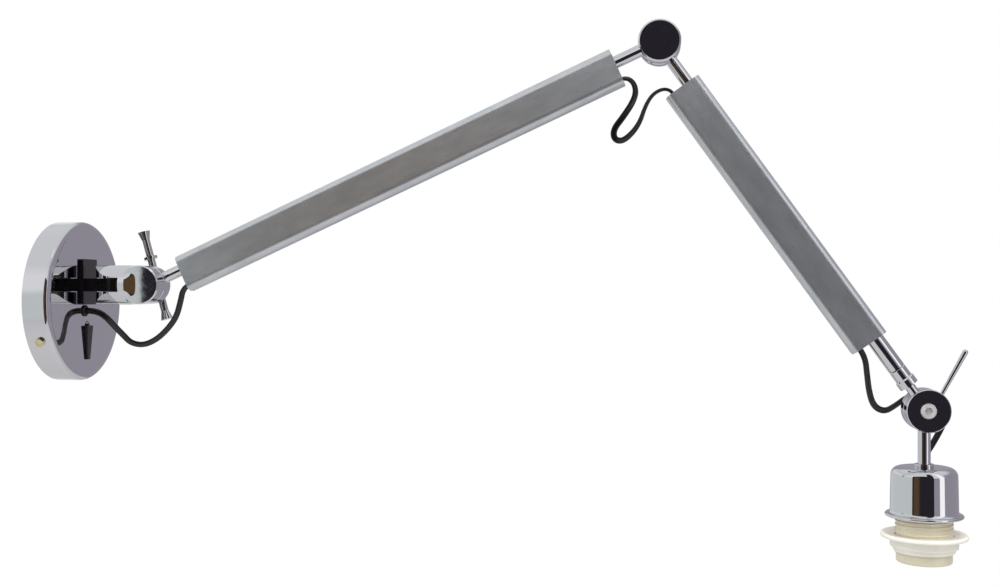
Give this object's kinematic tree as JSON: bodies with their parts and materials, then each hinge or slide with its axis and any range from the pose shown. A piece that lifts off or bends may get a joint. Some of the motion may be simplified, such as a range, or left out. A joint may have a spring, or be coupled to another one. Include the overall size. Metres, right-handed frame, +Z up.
{
  "type": "articulating wall lamp",
  "caption": "Chromed swing-arm wall lamp with satin flat-sided arm tubes, tilting joints, a tommy-bar clamp and a bare lampholder that hangs from the head.",
  "frame": {"origin": "centre of the canopy's back face, on the wall", "axes": "+X out of the wall, +Z up, arms in planes parallel to XZ"},
  "size_m": [0.6596, 0.118, 0.3837],
  "materials": {
    "chrome": "polished",
    "satin_aluminium": "satin",
    "zinc_steel": "zinc plated",
    "brassed_screw": "plated",
    "nickel_shell": "nickel plated",
    "black_plastic": "moulded",
    "black_rubber": "moulded",
    "black_lead": "extruded",
    "terminal_plastic": "moulded",
    "cream_plastic": "moulded",
    "white_ceramic": "glazed"
  },
  "bodies": {
    "root": {"wall_bracket": "zinc_steel", "canopy": "chrome", "canopy_screws": "brassed_screw", "terminal_block": "terminal_plastic", "terminal_screws": "brassed_screw", "switch_body": "black_plastic", "canopy_grommet": "black_rubber", "hinge_foot": "chrome", "foot_screws": "zinc_steel", "canopy_lead": "black_lead", "switch_wires": "black_lead", "base_lead_lower": "black_lead"},
    "switch": {"switch_lever": "black_plastic"},
    "fork": {"fork_barrel": "chrome", "hinge_pin": "chrome", "hinge_washers": "zinc_steel", "tilt_washer": "zinc_steel", "base_lead_upper": "black_lead"},
    "clamp": {"clamp_screw": "chrome"},
    "tommy": {"tommy_bar": "chrome", "tommy_ferrule": "chrome"},
    "lower_arm": {"tilt_eye": "chrome", "lower_root_rod": "chrome", "lower_root_plug": "black_plastic", "lower_tube": "satin_aluminium", "lower_tip_plug": "black_plastic", "lower_tip_rod": "chrome", "lower_tube_lead": "black_lead", "elbow_near_half": "chrome", "elbow_bolt": "zinc_steel", "elbow_washer": "zinc_steel", "elbow_lead": "black_lead"},
    "upper_arm": {"elbow_far_half": "chrome", "upper_top_rod": "chrome", "upper_top_plug": "black_plastic", "upper_tube": "satin_aluminium", "upper_end_plug": "black_plastic", "upper_tube_lead": "black_lead", "neck_sleeve": "chrome", "head_lead_upper": "black_lead"},
    "neck": {"neck_collar": "chrome", "neck_spindle": "chrome", "neck_clip": "zinc_steel", "head_near_half": "chrome", "head_washer": "zinc_steel", "head_lead_lower": "black_lead"},
    "lock": {"lock_lever": "chrome"},
    "head": {"head_far_half": "chrome", "head_bolt": "zinc_steel", "stem": "chrome", "stem_nuts": "chrome", "cup": "chrome", "cup_grommet": "black_rubber", "holder_cap": "cream_plastic", "holder_body": "cream_plastic", "holder_insert": "white_ceramic", "thread_shell": "nickel_shell", "centre_contact": "brassed_screw", "holder_lead": "black_lead"},
    "ring": {"shade_ring": "cream_plastic"}
  },
  "joints": [
    {"name": "base_swivel", "type": "hinge", "parent": "root", "child": "fork", "pos_m": [0.0412, 0, 0.012], "axis": [0, 0, 1], "range_deg": [-70, 70], "deforming": ["base_lead_lower"]},
    {"name": "base_tilt", "type": "hinge", "parent": "fork", "child": "lower_arm", "pos_m": [0.0655, 0.0064, 0.012], "axis": [0, -1, 0], "range_deg": [-65, 60], "deforming": ["base_lead_upper"]},
    {"name": "clamp_turn", "type": "hinge", "parent": "fork", "child": "clamp", "pos_m": [0.0655, 0.0126, 0.012], "axis": [0, 1, 0], "range_deg": [-60, 60]},
    {"name": "tommy_slide", "type": "slide", "parent": "clamp", "child": "tommy", "axis": [-0.2689, 0, 0.9632], "range_m": [-0.014, 0.014]},
    {"name": "elbow", "type": "hinge", "parent": "lower_arm", "child": "upper_arm", "pos_m": [0.4442, 0.0117, 0.1845], "axis": [0, -1, 0], "range_deg": [-38, 79], "deforming": ["elbow_lead"]},
    {"name": "neck_swivel", "type": "hinge", "parent": "upper_arm", "child": "neck", "pos_m": [0.60893, 0.017, -0.04685], "axis": [0.58, 0, -0.8146], "range_deg": [-120, 120], "deforming": ["head_lead_upper"]},
    {"name": "head_tilt", "type": "hinge", "parent": "neck", "child": "head", "pos_m": [0.6299, 0.0223, -0.0763], "axis": [0, -1, 0], "range_deg": [-75, 75], "deforming": ["head_lead_lower"]},
    {"name": "lock_turn", "type": "hinge", "parent": "neck", "child": "lock", "pos_m": [0.63255, 0.017, -0.07771], "axis": [0.471, 0, 0.8821], "range_deg": [-90, 90]},
    {"name": "switch_toggle", "type": "hinge", "parent": "root", "child": "switch", "pos_m": [0.0165, 0, -0.0179], "axis": [0, -1, 0], "range_deg": [0, 18]},
    {"name": "ring_turn", "type": "hinge", "parent": "head", "child": "ring", "pos_m": [0.6299, 0.0276, -0.167], "axis": [0, 0, 1], "continuous": true}
  ]
}
